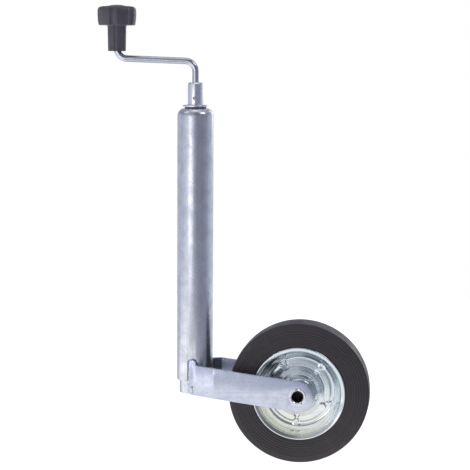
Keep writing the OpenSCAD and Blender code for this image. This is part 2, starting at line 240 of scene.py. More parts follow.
def finishPiece(bm, name, body, material, replaced=(), place=onTube, sharpAngle=38):
    # turns a bmesh in millimetres into a finished piece that rides on its body
    bmesh.ops.remove_doubles(bm, verts=bm.verts, dist=1e-4)
    bm.transform(Matrix.Scale(0.001, 4) @ place)
    bmesh.ops.recalc_face_normals(bm, faces=bm.faces)
    for face in bm.faces:
        face.smooth = True
    for edge in bm.edges:
        edge.smooth = len(edge.link_faces) == 2 and edge.calc_face_angle(0) < math.radians(sharpAngle)
    mesh = meshFrom(name, bm)
    mesh.materials.append(material)
    piece = linked(name, mesh)
    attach(piece, body)
    if replaced:
        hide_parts(*replaced)
    return piece


def addNode(tree, kind, sockets=None, **settings):
    # sockets maps input names to values or to output sockets that feed them
    node = tree.nodes.new(kind)
    for key, value in settings.items():
        setattr(node, key, value)
    for key, value in (sockets or {}).items():
        if isinstance(value, bpy.types.NodeSocket):
            tree.links.new(value, node.inputs[key])
        else:
            node.inputs[key].default_value = value
    return node


def calc(tree, operation, first, second=0.0, third=0.0):
    node = addNode(tree, "ShaderNodeMath", {0: first, 1: second, 2: third}, operation=operation)
    return node.outputs[0]


def vectorCalc(tree, operation, first, second=(0, 0, 0)):
    node = addNode(tree, "ShaderNodeVectorMath", {0: first, 1: second}, operation=operation)
    return node.outputs["Value" if operation in ("LENGTH", "DISTANCE", "DOT_PRODUCT") else "Vector"]


def objectSpace(tree):
    return addNode(tree, "ShaderNodeTexCoord").outputs["Object"]


def noiseFactor(tree, where, scale, detail, **more):
    sockets = {"Vector": where, "Scale": scale, "Detail": detail, **more}
    return addNode(tree, "ShaderNodeTexNoise", sockets).outputs["Fac"]


def mixColor(tree, factor, first, second, blend="MIX"):
    node = addNode(tree, "ShaderNodeMix", {0: factor, 6: first, 7: second}, data_type="RGBA",
                   blend_type=blend)
    return node.outputs[2]


def spread(tree, value, low, high, newLow=0.0, newHigh=1.0, smooth=True):
    # maps low..high to newLow..newHigh
    kind = "SMOOTHSTEP" if smooth else "LINEAR"
    sockets = {"Value": value, "From Min": low, "From Max": high, "To Min": newLow, "To Max": newHigh}
    return addNode(tree, "ShaderNodeMapRange", sockets, interpolation_type=kind).outputs[0]


def newGroup(name, inputs, outputs):
    # inputs are (name, kind, value) and outputs (name, kind)
    group = bpy.data.node_groups.new(name, "ShaderNodeTree")
    for label, kind, value in inputs:
        group.interface.new_socket(name=label, in_out="INPUT",
                                   socket_type="NodeSocket" + kind).default_value = value
    for label, kind in outputs:
        group.interface.new_socket(name=label, in_out="OUTPUT", socket_type="NodeSocket" + kind)
    return group, group.nodes.new("NodeGroupInput").outputs, group.nodes.new("NodeGroupOutput").inputs


def useGroup(tree, group, **sockets):
    # places a group; underscores in the names stand for spaces
    node = tree.nodes.new("ShaderNodeGroup")
    node.node_tree = group
    for key, value in sockets.items():
        target = node.inputs[key.replace("_", " ")]
        if isinstance(value, bpy.types.NodeSocket):
            tree.links.new(value, target)
        else:
            target.default_value = value
    return node.outputs


def makeZincFilm():
    # plated zinc: cloudy blotches, drawn streaks and a fine crystalline grain
    group, take, give = newGroup(
        "zincFilm",
        [("Light", "Color", (0.8, 0.8, 0.85, 1)), ("Dark", "Color", (0.5, 0.5, 0.55, 1)),
         ("Blotch Scale", "Float", 60), ("Blotch Amount", "Float", 0.5),
         ("Streaks", "Vector", (500, 500, 10)), ("Streak Amount", "Float", 0.2),
         ("Roughness", "Float", 0.25), ("Roughness Change", "Float", 0.15)],
        [("Color", "Color"), ("Roughness", "Float"), ("Height", "Float"), ("Mask", "Float")])
    where = objectSpace(group)
    cloud = noiseFactor(group, where, take["Blotch Scale"], 4, Roughness=0.62, Distortion=0.6)
    blotch = spread(group, cloud, 0.38, 0.66)
    run = vectorCalc(group, "MULTIPLY", where, take["Streaks"])
    streakMask = spread(group, noiseFactor(group, run, 1, 3, Roughness=0.6), 0.35, 0.68)
    grain = addNode(group, "ShaderNodeTexVoronoi", {"Vector": where, "Scale": 1400})
    mask = calc(group, "MULTIPLY", blotch, take["Blotch Amount"])
    mask = calc(group, "MULTIPLY_ADD", streakMask, take["Streak Amount"], mask)
    crystals = calc(group, "MULTIPLY_ADD", grain.outputs["Distance"], 0.12, mask)
    clamped = addNode(group, "ShaderNodeClamp", {"Value": crystals}).outputs[0]
    group.links.new(mixColor(group, clamped, take["Light"], take["Dark"]), give["Color"])
    group.links.new(calc(group, "MULTIPLY_ADD", clamped, take["Roughness Change"], take["Roughness"]),
                    give["Roughness"])
    height = calc(group, "MULTIPLY_ADD", streakMask, 0.6, grain.outputs["Distance"])
    group.links.new(height, give["Height"])
    group.links.new(clamped, give["Mask"])
    return group


def makeTurnedRings():
    # fine rings round an axis, as left by a press tool, a lathe or a mould
    group, take, give = newGroup(
        "turnedRings",
        [("Centre", "Vector", (0, 0, 0)), ("Across", "Vector", (1, 0, 1)), ("Rings", "Float", 900),
         ("Wander", "Float", 0.1)],
        [("Mask", "Float"), ("Radius", "Float")])
    where = objectSpace(group)
    away = vectorCalc(group, "SUBTRACT", where, take["Centre"])
    flat = vectorCalc(group, "MULTIPLY", away, take["Across"])
    radius = vectorCalc(group, "LENGTH", flat)
    wobble = noiseFactor(group, where, 25, 1)
    moved = calc(group, "MULTIPLY_ADD", wobble, calc(group, "MULTIPLY", take["Wander"], 0.01), radius)
    sockets = {"W": moved, "Scale": take["Rings"], "Detail": 3, "Roughness": 0.7}
    lines = addNode(group, "ShaderNodeTexNoise", sockets, noise_dimensions="1D")
    group.links.new(spread(group, lines.outputs["Fac"], 0.3, 0.7), give["Mask"])
    group.links.new(radius, give["Radius"])
    return group


def makeEdgeWear():
    # bright or dull rims on sharp edges, broken up by noise: rubbed wear, and on the black plastic also a
    # painted edge highlight
    group, take, give = newGroup(
        "edgeWear",
        [("Start", "Float", 0.52), ("End", "Float", 0.6), ("Break Up", "Float", 300)],
        [("Mask", "Float")])
    pointed = addNode(group, "ShaderNodeNewGeometry").outputs["Pointiness"]
    where = objectSpace(group)
    patchy = noiseFactor(group, where, take["Break Up"], 3)
    edge = spread(group, pointed, take["Start"], take["End"])
    group.links.new(calc(group, "MULTIPLY", edge, spread(group, patchy, 0.3, 0.6)), give["Mask"])
    return group


def makeMouldedGrain():
    # soft pebbled skin of moulded plastic and rubber, with slow changes in shade
    group, take, give = newGroup(
        "mouldedGrain",
        [("Grain", "Float", 1500), ("Clouds", "Float", 30), ("Dark", "Color", (0.03, 0.03, 0.03, 1)),
         ("Light", "Color", (0.06, 0.06, 0.06, 1))],
        [("Color", "Color"), ("Height", "Float"), ("Mask", "Float")])
    where = objectSpace(group)
    fine = noiseFactor(group, where, take["Grain"], 2)
    slow = noiseFactor(group, where, take["Clouds"], 5, Roughness=0.65)
    mask = spread(group, slow, 0.3, 0.7)
    speck = calc(group, "MULTIPLY_ADD", fine, 0.35, calc(group, "MULTIPLY", mask, 0.65))
    group.links.new(mixColor(group, speck, take["Dark"], take["Light"]), give["Color"])
    group.links.new(fine, give["Height"])
    group.links.new(mask, give["Mask"])
    return group


def makeHandlingMarks():
    # sparse hairline scratches in two directions
    group, take, give = newGroup(
        "handlingMarks", [("Scale", "Float", 1), ("Amount", "Float", 0.5)], [("Mask", "Float")])
    where = objectSpace(group)
    found = None
    for turn, stretch in (((0.3, 0.2, 0.5), (1600, 60, 60)), ((1.1, 0.7, 0.1), (60, 1500, 50))):
        sockets = {"Vector": where, "Rotation": turn, "Scale": stretch}
        turned = addNode(group, "ShaderNodeMapping", sockets)
        hair = noiseFactor(group, turned.outputs[0], take["Scale"], 2)
        line = spread(group, hair, 0.66, 0.74)
        found = line if found is None else calc(group, "MAXIMUM", found, line)
    group.links.new(calc(group, "MULTIPLY", found, take["Amount"]), give["Mask"])
    return group


zincFilm = makeZincFilm()
turnedRings = makeTurnedRings()
edgeWear = makeEdgeWear()
mouldedGrain = makeMouldedGrain()
handlingMarks = makeHandlingMarks()
print("shared effects made")


def newMaterial(name, **values):
    # a Principled material whose uniform values are set straight on the shader
    material = bpy.data.materials.new(name)
    material.use_nodes = True
    tree = material.node_tree
    shader = tree.nodes["Principled BSDF"]
    for key, value in values.items():
        shader.inputs[key.replace("_", " ")].default_value = value
    return material, tree, shader


def dress(tree, shader, color, roughness, height, strength):
    # feeds the shader its colour, its roughness and a bump from height
    bump = addNode(tree, "ShaderNodeBump", {"Height": height, "Strength": strength, "Distance": 0.0002})
    for name, value in (("Base Color", color), ("Roughness", roughness),
                        ("Normal", bump.outputs["Normal"])):
        tree.links.new(value, shader.inputs[name])


zincLooks = {
    "zincTube": {"light": (0.82, 0.84, 0.9, 1), "dark": (0.5, 0.52, 0.6, 1), "blotchScale": 55,
                 "blotchAmount": 0.42, "streaks": (420, 420, 9), "streakAmount": 0.3,
                 "roughness": 0.24, "change": 0.14, "bump": 0.02},
    "zincFork": {"light": (0.71, 0.75, 0.88, 1), "dark": (0.52, 0.565, 0.70, 1), "blotchScale": 75,
                 "blotchAmount": 0.4, "streaks": (14, 300, 300), "streakAmount": 0.3,
                 "roughness": 0.24, "change": 0.12, "bump": 0.04},
    "zincBright": {"light": (0.9, 0.91, 0.95, 1), "dark": (0.66, 0.68, 0.75, 1), "blotchScale": 90,
                   "blotchAmount": 0.25, "streaks": (300, 300, 300), "streakAmount": 0.15,
                   "roughness": 0.15, "change": 0.12, "bump": 0.04},
    "zincRod": {"light": (0.62, 0.64, 0.71, 1), "dark": (0.42, 0.44, 0.5, 1), "blotchScale": 90,
                "blotchAmount": 0.25, "streaks": (300, 300, 300), "streakAmount": 0.15,
                "roughness": 0.17, "change": 0.12, "bump": 0.04},
    "weldZinc": {"light": (0.86, 0.88, 0.93, 1), "dark": (0.5, 0.52, 0.58, 1), "blotchScale": 300,
                 "blotchAmount": 0.5, "streaks": (200, 200, 600), "streakAmount": 0.3,
                 "roughness": 0.22, "change": 0.2, "bump": 0.2},
}


def makeZinc(name, label=None):
    look = zincLooks[name]
    material, tree, shader = newMaterial(label or name, Metallic=1.0)
    film = useGroup(tree, zincFilm, Light=look["light"], Dark=look["dark"],
                    Blotch_Scale=look["blotchScale"], Blotch_Amount=look["blotchAmount"],
                    Streaks=look["streaks"], Streak_Amount=look["streakAmount"],
                    Roughness=look["roughness"], Roughness_Change=look["change"])
    wear = useGroup(tree, edgeWear, Start=0.53, End=0.62, Break_Up=260)
    marks = useGroup(tree, handlingMarks, Scale=1.0, Amount=0.35)
    rubbed = mixColor(tree, wear["Mask"], film["Color"], (0.93, 0.94, 0.96, 1))
    scratched = mixColor(tree, marks["Mask"], rubbed, look["dark"])
    height = calc(tree, "SUBTRACT", film["Height"], marks["Mask"])
    dress(tree, shader, scratched, film["Roughness"], height, look["bump"])
    return material


rimLook = {"yellow": (0.86, 0.87, 0.8, 1), "pale": (0.9, 0.92, 0.92, 1), "teal": (0.78, 0.85, 0.88, 1),
           "roughness": 0.07, "change": 0.08}


def makeRimZinc():
    # clear passivated zinc whose tint drifts from yellow to teal across the disc
    material, tree, shader = newMaterial("zincRim", Metallic=1.0)
    film = useGroup(tree, zincFilm, Light=(1, 1, 1, 1), Dark=(0.84, 0.86, 0.89, 1), Blotch_Scale=80,
                    Blotch_Amount=0.35, Streaks=(250, 250, 250), Streak_Amount=0.15,
                    Roughness=rimLook["roughness"], Roughness_Change=rimLook["change"])
    rings = useGroup(tree, turnedRings, Centre=hub * 0.001, Across=(1, 0, 1), Rings=700, Wander=0.2)
    where = objectSpace(tree)
    away = vectorCalc(tree, "SUBTRACT", where, hub * 0.001)
    along = vectorCalc(tree, "DOT_PRODUCT", away, (0.62, 0, 0.78))
    drift = noiseFactor(tree, where, 22, 2)
    place = calc(tree, "MULTIPLY_ADD", drift, 0.05, calc(tree, "SUBTRACT", along, 0.025))
    ramp = addNode(tree, "ShaderNodeValToRGB", {"Fac": spread(tree, place, -0.055, 0.055, smooth=False)})
    stops = ramp.color_ramp.elements
    stops[0].color = rimLook["yellow"]
    stops[1].color = rimLook["teal"]
    stops.new(0.45).color = rimLook["pale"]
    tinted = mixColor(tree, 1.0, film["Color"], ramp.outputs["Color"], "MULTIPLY")
    wear = useGroup(tree, edgeWear, Start=0.53, End=0.62, Break_Up=260)
    rubbed = mixColor(tree, wear["Mask"], tinted, (0.92, 0.94, 0.94, 1))
    height = calc(tree, "MULTIPLY_ADD", rings["Mask"], 0.8, film["Height"])
    dress(tree, shader, rubbed, film["Roughness"], height, 0.05)
    return material


steelLooks = {
    "machinedSteel": {"light": (0.62, 0.62, 0.64, 1), "dark": (0.36, 0.36, 0.38, 1), "roughness": 0.3},
    "springSteel": {"light": (0.30, 0.30, 0.33, 1), "dark": (0.12, 0.12, 0.13, 1), "roughness": 0.35},
    "bearingSteel": {"light": (0.78, 0.79, 0.81, 1), "dark": (0.6, 0.61, 0.64, 1), "roughness": 0.12},
    "brassCage": {"light": (0.72, 0.55, 0.25, 1), "dark": (0.5, 0.36, 0.15, 1), "roughness": 0.28},
}


def makeSteel(name):
    look = steelLooks[name]
    material, tree, shader = newMaterial(name, Metallic=1.0)
    film = useGroup(tree, zincFilm, Light=look["light"], Dark=look["dark"], Blotch_Scale=120,
                    Blotch_Amount=0.4, Streaks=(60, 60, 1500), Streak_Amount=0.4,
                    Roughness=look["roughness"], Roughness_Change=0.15)
    wear = useGroup(tree, edgeWear, Start=0.53, End=0.6, Break_Up=400)
    rubbed = mixColor(tree, wear["Mask"], film["Color"], look["light"])
    dress(tree, shader, rubbed, film["Roughness"], film["Height"], 0.08)
    return material


mouldedLooks = {
    # blackPlastic's light rim colour is partly wear and partly a painted highlight along its edges
    "blackPlastic": {"dark": (0.07, 0.063, 0.075, 1), "light": (0.122, 0.11, 0.132, 1), "grain": 1900,
                     "clouds": 60, "rough": (0.3, 0.42), "wearAndHighlight": (0.18, 0.17, 0.19, 1), "bump": 0.25,
                     "specular": 0.55},
    # blackNylon is lifted to grey: painted light on the bush's flange, which sits in the shade under the
    # washer
    "blackNylon": {"dark": (0.16, 0.16, 0.18, 1), "light": (0.23, 0.23, 0.25, 1), "grain": 2000,
                   "clouds": 90, "rough": (0.45, 0.6), "wearAndHighlight": (0.08, 0.08, 0.08, 1), "bump": 0.2,
                   "specular": 0.4},
    "whiteNylon": {"dark": (0.62, 0.61, 0.55, 1), "light": (0.8, 0.79, 0.74, 1), "grain": 1800,
                   "clouds": 90, "rough": (0.35, 0.5), "wearAndHighlight": (0.86, 0.85, 0.82, 1), "bump": 0.15,
                   "specular": 0.45},
}


def makeMoulded(name):
    look = mouldedLooks[name]
    material, tree, shader = newMaterial(name, Specular_IOR_Level=look["specular"])
    skin = useGroup(tree, mouldedGrain, Grain=look["grain"], Clouds=look["clouds"], Dark=look["dark"],
                    Light=look["light"])
    wear = useGroup(tree, edgeWear, Start=0.52, End=0.6, Break_Up=350)
    marks = useGroup(tree, handlingMarks, Scale=1.0, Amount=0.3)
    # edges and scratches take the rim colour: wear, and on the black plastic also a painted highlight
    wearAndHighlight = calc(tree, "MAXIMUM", calc(tree, "MULTIPLY", wear["Mask"], 0.5),
                calc(tree, "MULTIPLY", marks["Mask"], 0.4))
    color = mixColor(tree, wearAndHighlight, skin["Color"], look["wearAndHighlight"])
    dress(tree, shader, color, spread(tree, skin["Mask"], 0, 1, *look["rough"]), skin["Height"],
          look["bump"])
    return material


tyreLook = {"dark": (0.030, 0.024, 0.028, 1), "light": (0.050, 0.040, 0.047, 1),
            "dust": (0.12, 0.11, 0.115, 1), "rough": (0.36, 0.5)}


def makeRubber():
    material, tree, shader = newMaterial("tyreRubber", Specular_IOR_Level=0.45)
    skin = useGroup(tree, mouldedGrain, Grain=1300, Clouds=26, Dark=tyreLook["dark"],
                    Light=tyreLook["light"])
    rings = useGroup(tree, turnedRings, Centre=hub * 0.001, Across=(1, 0, 1), Rings=520, Wander=0.05)
    wear = useGroup(tree, edgeWear, Start=0.515, End=0.58, Break_Up=200)
    streaked = mixColor(tree, calc(tree, "MULTIPLY", rings["Mask"], 0.18), skin["Color"], tyreLook["dust"])
    color = mixColor(tree, calc(tree, "MULTIPLY", wear["Mask"], 0.35), streaked, tyreLook["dust"])
    height = calc(tree, "MULTIPLY_ADD", rings["Mask"], 1.2, skin["Height"])
    dress(tree, shader, color, spread(tree, skin["Mask"], 0, 1, *tyreLook["rough"]), height, 0.22)
    return material


def makeAxleZincShadedBore():
    # bright zinc outside; inside the bore, painted shade: dark, rough and not metal
    material = makeZinc("zincBright", "axleZinc")
    tree = material.node_tree
    shader = tree.nodes["Principled BSDF"]
    rings = useGroup(tree, turnedRings, Centre=hub * 0.001, Across=(1, 0, 1), Rings=300, Wander=0.1)
    # painted shade on the bore's inner wall, picked out by distance from the axle's axis
    inside = spread(tree, rings["Radius"], 0.0079, 0.0076)
    for name, dark in (("Base Color", (0.022, 0.023, 0.025, 1)), ("Roughness", (0.7, 0.7, 0.7, 1))):
        target = shader.inputs[name]
        tree.links.new(mixColor(tree, inside, target.links[0].from_socket, dark), target)
    tree.links.new(calc(tree, "SUBTRACT", 1, inside), shader.inputs["Metallic"])
    return material


zincTube = makeZinc("zincTube")
axleZinc = makeAxleZincShadedBore()
zincFork = makeZinc("zincFork")
zincBright = makeZinc("zincBright")
zincRod = makeZinc("zincRod")
weldZinc = makeZinc("weldZinc")
zincRim = makeRimZinc()
machinedSteel = makeSteel("machinedSteel")
springSteel = makeSteel("springSteel")
bearingSteel = makeSteel("bearingSteel")
brassCage = makeSteel("brassCage")
blackPlastic = makeMoulded("blackPlastic")
blackNylon = makeMoulded("blackNylon")
whiteNylon = makeMoulded("whiteNylon")
tyreRubber = makeRubber()
print("materials made")


outerTubeShape = {"wall": 3, "mouth": 30, "skirt": 60, "crownRadius": 10, "neckRadius": 10,
                  "notchWidth": 14, "notchHeight": 32, "edge": 0.6, "notchEdge": 1.05, "segments": 144}


def notchCutter(low, width, height, depth):
    # a slot through both walls, open at the bottom, with a half-round top
    top = low.z + height - width / 2
    outline = [Vector((-width / 2, low.z - 5)), Vector((width / 2, low.z - 5))]
    outline += arc(0, top, width / 2, 0, 180, 24)
    bm = extruded(outline, depth)
    return placed(bm, upright @ Matrix.Translation((0, 0, -depth / 2)))


def makeOuterTube():
    shape = outerTubeShape
    low, high = nodeBox("outer_tube")
    radius = high.x
    inner = radius - shape["wall"]
    crown = shape["crownRadius"]
    edge = shape["edge"]
    mouth = low.z + shape["mouth"]
    skirt = low.z + shape["skirt"]
    outline = roundedOutline([(inner, mouth, 0), (inner, low.z, edge), (radius, low.z, edge),
                              (radius, mouth, 0)], False, 3)
    outline += [Vector((radius, skirt))]
    outline += arc(radius - crown, high.z - crown, crown, 0, 90, 14)
    outline += roundedOutline([(radius - crown - 1, high.z, 0), (shape["neckRadius"], high.z, 0.5),
                               (shape["neckRadius"], high.z - shape["wall"], 0.3),
                               (radius - crown - 1, high.z - shape["wall"], 0)], False, 3)
    outline += arc(radius - crown, high.z - crown, crown - shape["wall"], 90, 0, 8)
    outline += [Vector((inner, skirt))]
    bm = lathe(outline, shape["segments"])
    bm = cutBy(bm, [notchCutter(low, shape["notchWidth"], shape["notchHeight"], 80)])

    def onNotch(edgeLine):
        middle = (edgeLine.verts[0].co + edgeLine.verts[1].co) / 2
        inSlot = abs(middle.x) < shape["notchWidth"] / 2 + 0.2
        return inSlot and middle.z > low.z + 1 and abs(middle.y) > inner - 4

    roundEdges(bm, onNotch, shape["notchEdge"])
    finishPiece(bm, "outerTube", "outer", zincTube, ["outer_tube"])


makeOuterTube()
print("outer tube made")


neckShape = {"bore": 8.1, "fit": 9.96, "edge": 0.4, "flangeReach": 1.2}


def makeNeckBush():
    low, high = nodeBox("neck_bush")
    tubeTop = nodeBox("outer_tube")[1].z
    edge = neckShape["edge"]
    flange = high.x + neckShape["flangeReach"]
    outline = roundedOutline([(neckShape["bore"], low.z, 0.3), (neckShape["fit"], low.z, 0.3),
                              (neckShape["fit"], tubeTop + 0.05, 0), (flange, tubeTop + 0.05, edge),
                              (flange, high.z, edge), (neckShape["bore"], high.z, 0.3)])
    # the nylon's lifted grey is painted light in the shaded gap under the washer
    finishPiece(lathe(outline), "neckBush", "outer", blackNylon, ["neck_bush"])


washerShape = {"bore": 8.05, "boreEdge": 0.3, "lowEdge": 0.9, "highEdge": 1.1}


def makeTopWasher():
    low, high = nodeBox("top_washer")
    bore = washerShape["bore"]
    boreEdge = washerShape["boreEdge"]
    outline = roundedOutline([(bore, low.z, boreEdge), (high.x, low.z, washerShape["lowEdge"]),
                              (high.x, high.z, washerShape["highEdge"]), (bore, high.z, boreEdge)])
    finishPiece(lathe(outline, 96), "topWasher", "crank", zincBright, ["top_washer"])


socketShape = {"bore": 4.45, "foot": 8.05, "shoulder": 192, "topSlope": 2.2, "topDrop": 2.0,
               "pinHeight": 186.3, "pinHole": 2.34, "holeReach": 20}


def makeSocket():
    low, high = nodeBox("crank_socket")
    radius = high.x
    shape = socketShape
    outline = roundedOutline([(shape["foot"], low.z, 0.2), (radius, low.z, 0.5),
                              (radius, high.z - shape["topDrop"], 1.4),
                              (radius - shape["topSlope"], high.z, 0.8), (shape["bore"], high.z, 0.4),
                              (shape["bore"], shape["shoulder"], 0.2),
                              (shape["foot"], shape["shoulder"], 0)])
    bm = lathe(outline, 80)
    hole = rod(shape["pinHole"], shape["holeReach"], 28)
    placed(hole, Matrix.Translation((0, 0, shape["pinHeight"])) @ upright)
    bm = cutBy(bm, [hole])
    finishPiece(bm, "crankSocket", "crank", zincBright, ["crank_socket"])


pinShape = {"radius": 2.3, "core": 0.85, "sink": 5, "from": 95, "to": 305, "chamfer": 0.25}


def makeSocketPin():
    # a rolled pin: a core in a C-shaped gap at each end
    low, high = nodeBox("socket_pin")
    shape = pinShape
    half = high.y
    radius = shape["radius"]
    middle = Matrix.Translation((0, 0, (low.z + high.z) / 2))
    outline = roundedOutline([(0, -half, 0), (radius, -half, shape["chamfer"]),
                              (radius, half, shape["chamfer"]), (0, half, 0)], False, 3)
    bm = placed(lathe(outline, 48, False), middle @ upright)
    cutters = []
    for side in (1, -1):
        gap = arc(0, 0, radius + 0.6, shape["from"], shape["to"], 30)
        gap += arc(0, 0, shape["core"], shape["to"], shape["from"], 30)
        cutter = extruded(gap, shape["sink"] * 2)
        shift = Matrix.Translation((0, 0, side * half - shape["sink"]))
        cutters.append(placed(cutter, middle @ upright @ shift))
    bm = cutBy(bm, cutters)
    finishPiece(bm, "socketPin", "crank", machinedSteel, ["socket_pin"])


makeNeckBush()
makeTopWasher()
makeSocket()
makeSocketPin()
print("neck and socket made")


rodShape = {"radius": 4.4, "bend": 14, "armHeight": 235, "slope": 2}


def makeCrankRod():
    shape = rodShape
    low, high = nodeBox("crank_rod")
    bend = shape["bend"]
    sweepAngle = 90 - shape["slope"]
    reach = bend * (1 - math.cos(math.radians(sweepAngle)))
    rise = bend * math.sin(math.radians(sweepAngle))
    run = -knobMiddle.x - 2 * reach
    firstBend = shape["armHeight"] - rise
    secondBend = shape["armHeight"] + run * math.tan(math.radians(shape["slope"])) + rise
    path = [Vector((0, 0, low.z)), Vector((0, 0, low.z + 0.6))]
    path += [Vector((0, 0, low.z + (firstBend - low.z) * t)) for t in (0.3, 0.6)]
    path += [Vector((x, 0, z)) for x, z in arc(-bend, firstBend, bend, 0, sweepAngle, 20)]
    start = path[-1]
    turned = [Vector((x, 0, z)) for x, z in arc(knobMiddle.x + bend, secondBend, bend, 180 + sweepAngle,
                                                180, 20)]
    path += [start.lerp(turned[0], t) for t in (0.25, 0.5, 0.75)]
    path += turned
    path += [Vector((knobMiddle.x, 0, secondBend + (high.z - secondBend) * t)) for t in (0.5, 0.98, 1)]
    finishPiece(sweep(path, shape["radius"], 32), "crankRod", "crank", zincRod,
                ["crank_rod"])


makeCrankRod()
print("crank rod made")


knobShape = {"lobes": 6, "turn": -92.5, "headGroove": 9, "headDepth": 1.9, "sleeveGroove": 2.2,
             "sleeveDepth": 1.2, "bore": 4.48, "mouth": 6.8, "sleeve": 12.4, "headStart": 34,
             "crown": 5.6, "soft": 0.35, "segments": 192}


def grooveCut(radius, angle, cutter, depth):
    # how far a round groove of that cutter takes the surface in, softened at its shoulders
    shape = knobShape
    pitch = math.tau / shape["lobes"]
    offset = (angle - math.radians(shape["turn"]) + pitch / 2) % pitch - pitch / 2
    centre = radius + cutter - depth
    sideways = centre * math.sin(offset)
    if abs(sideways) > cutter:
        return 0.0
    surface = centre * math.cos(offset) - math.sqrt(cutter ** 2 - sideways ** 2)
    gap = radius - surface
    soft = shape["soft"]
    return 0.5 * (gap + math.sqrt(gap * gap + soft * soft)) - 0.5 * soft if gap > -2 else 0.0


def makeKnob():
    shape = knobShape
    low, high = nodeBox("knob_body")
    capLow, capHigh = nodeBox("knob_cap")
    headRadius = (high.x - low.x) / 2
    sleeve = shape["sleeve"]
    head = low.z + shape["headStart"]
    crown = shape["crown"]
    seat = capLow.z
    capRadius = (capHigh.x - capLow.x) / 2 + 0.04
    top = high.z
    skin = [(shape["mouth"], low.z, 0.5), (sleeve - 0.6, low.z, 0.7), (sleeve - 0.3, low.z + 17, 0),
            (sleeve, head - 1.5, 0.8), (sleeve + 1.6, head - 0.02, 0.8), (headRadius - 1.4, head, 1.0),
            (headRadius - 0.5, head + 6, 0), (headRadius, head + 13, 0)]
    outline = roundedOutline(skin, False, 5)
    outline += arc(headRadius - crown, top - crown - 0.6, crown, 6, 84, 9)
    outline += roundedOutline([(headRadius - 8, top - 0.3, 0), (capRadius, top, 0.8),
                               (capRadius, seat, 0.2), (10, seat, 0.2), (10, seat - 10, 0.3),
                               (shape["bore"], seat - 10, 0.3), (shape["bore"], low.z + 7, 0.3),
                               (shape["mouth"], low.z + 7, 0)], False, 3)

    def shaped(radius, height, angle):
        if radius < capRadius + 0.9 and height > head + 2 or radius < sleeve - 1.2:
            return radius, height
        if height < head - 0.5:
            return radius - grooveCut(radius, angle, shape["sleeveGroove"], shape["sleeveDepth"]), height
        outward = min(1.0, max(0.0, (radius - sleeve - 1.6) / (headRadius - 8 - sleeve)))
        cut = grooveCut(headRadius, angle, shape["headGroove"], shape["headDepth"])
        return radius - cut * outward, height

    finishPiece(lathe(outline, shape["segments"], True, shaped), "knobBody", "knob", blackPlastic,
                ["knob_body"], onKnob, 50)


def makeKnobCap():
    low, high = nodeBox("knob_cap")
    radius = (high.x - low.x) / 2
    outline = roundedOutline([(0, low.z, 0), (radius, low.z, 0.4), (radius, low.z + 2.6, 0.8),
                              (radius - 1.2, low.z + 2.9, 0.3), (radius - 1.8, low.z + 2.6, 0.3),
                              (radius - 5, high.z - 0.5, 3), (2, high.z, 0), (0, high.z, 0)], False, 5)
    finishPiece(lathe(outline, 96, False), "knobCap", "knob", blackPlastic, ["knob_cap"],
                onKnob)


makeKnob()
makeKnobCap()
print("knob made")


innerTubeShape = {"wall": 2.5, "edge": 0.5, "lowEdge": 0.7, "segments": 128}


def makeInnerTube():
    shape = innerTubeShape
    low, high = nodeBox("inner_tube")
    radius = high.x
    inside = radius - shape["wall"]
    edge = shape["edge"]
    outline = roundedOutline([(inside, low.z, edge), (radius, low.z, shape["lowEdge"]),
                              (radius, high.z, edge), (inside, high.z, edge)])
    finishPiece(lathe(outline, shape["segments"]), "innerTube", "inner", zincTube,
                ["inner_tube"])


threadShape = {"radius": 8, "root": 6, "pitch": 4, "stepsPerTurn": 8, "sides": 40, "collarRadius": 14,
               "collarLow": 155.5, "collarHigh": 159.5, "start": -110, "end": 153}


def threadRadius(height, angle):
    # trapezoid thread, left-hand
    shape = threadShape
    turn = (height / shape["pitch"] + angle / math.tau) % 1.0
    flank = abs(turn - 0.5) * 2
    rise = min(1.0, max(0.0, (flank - 0.3) / 0.35))
    fade = min(1.0, (height - shape["start"]) / 4, (shape["end"] - height) / 4)
    depth = (shape["radius"] - shape["root"]) * max(0.0, fade)
    return shape["radius"] - 0.02 - depth * (1 - rise)


def makeSpindle():
    shape = threadShape
    low, high = nodeBox("spindle")
    count = int((shape["end"] - shape["start"]) / shape["pitch"] * shape["stepsPerTurn"])
    full = shape["radius"]
    outline = roundedOutline([(0, low.z, 0), (full, low.z, 1.0), (full, shape["start"], 0)], False, 3)
    outline += [Vector((full, shape["start"] + (shape["end"] - shape["start"]) * i / count))
                for i in range(1, count + 1)]
    outline += roundedOutline([(full, shape["collarLow"] - 1, 0), (full, shape["collarLow"], 0.4),
                               (shape["collarRadius"], shape["collarLow"], 0.5),
                               (shape["collarRadius"], shape["collarHigh"], 0.5),
                               (full, shape["collarHigh"], 0.4), (full, high.z, 0.6), (0, high.z, 0)],
                              False, 3)

    def threaded(radius, height, angle):
        if shape["start"] <= height <= shape["end"] and abs(radius - full) < 0.01:
            return threadRadius(height, angle), height
        return radius, height

    finishPiece(lathe(outline, shape["sides"], False, threaded), "spindle", "crank", machinedSteel,
                ["spindle"], onTube, 50)


makeInnerTube()
makeSpindle()
print("inner tube and spindle made")


armShape = {"noseRadius": 4.7, "neckRadius": 1.5, "rootBottom": -208, "rootCorner": 6, "creaseX": 30.4,
            "flareX": 1, "slope": 7.35, "thickness": 4, "edge": 0.8, "bendReach": 1.6, "axleHole": 10.04,
            "holeReach": 9}


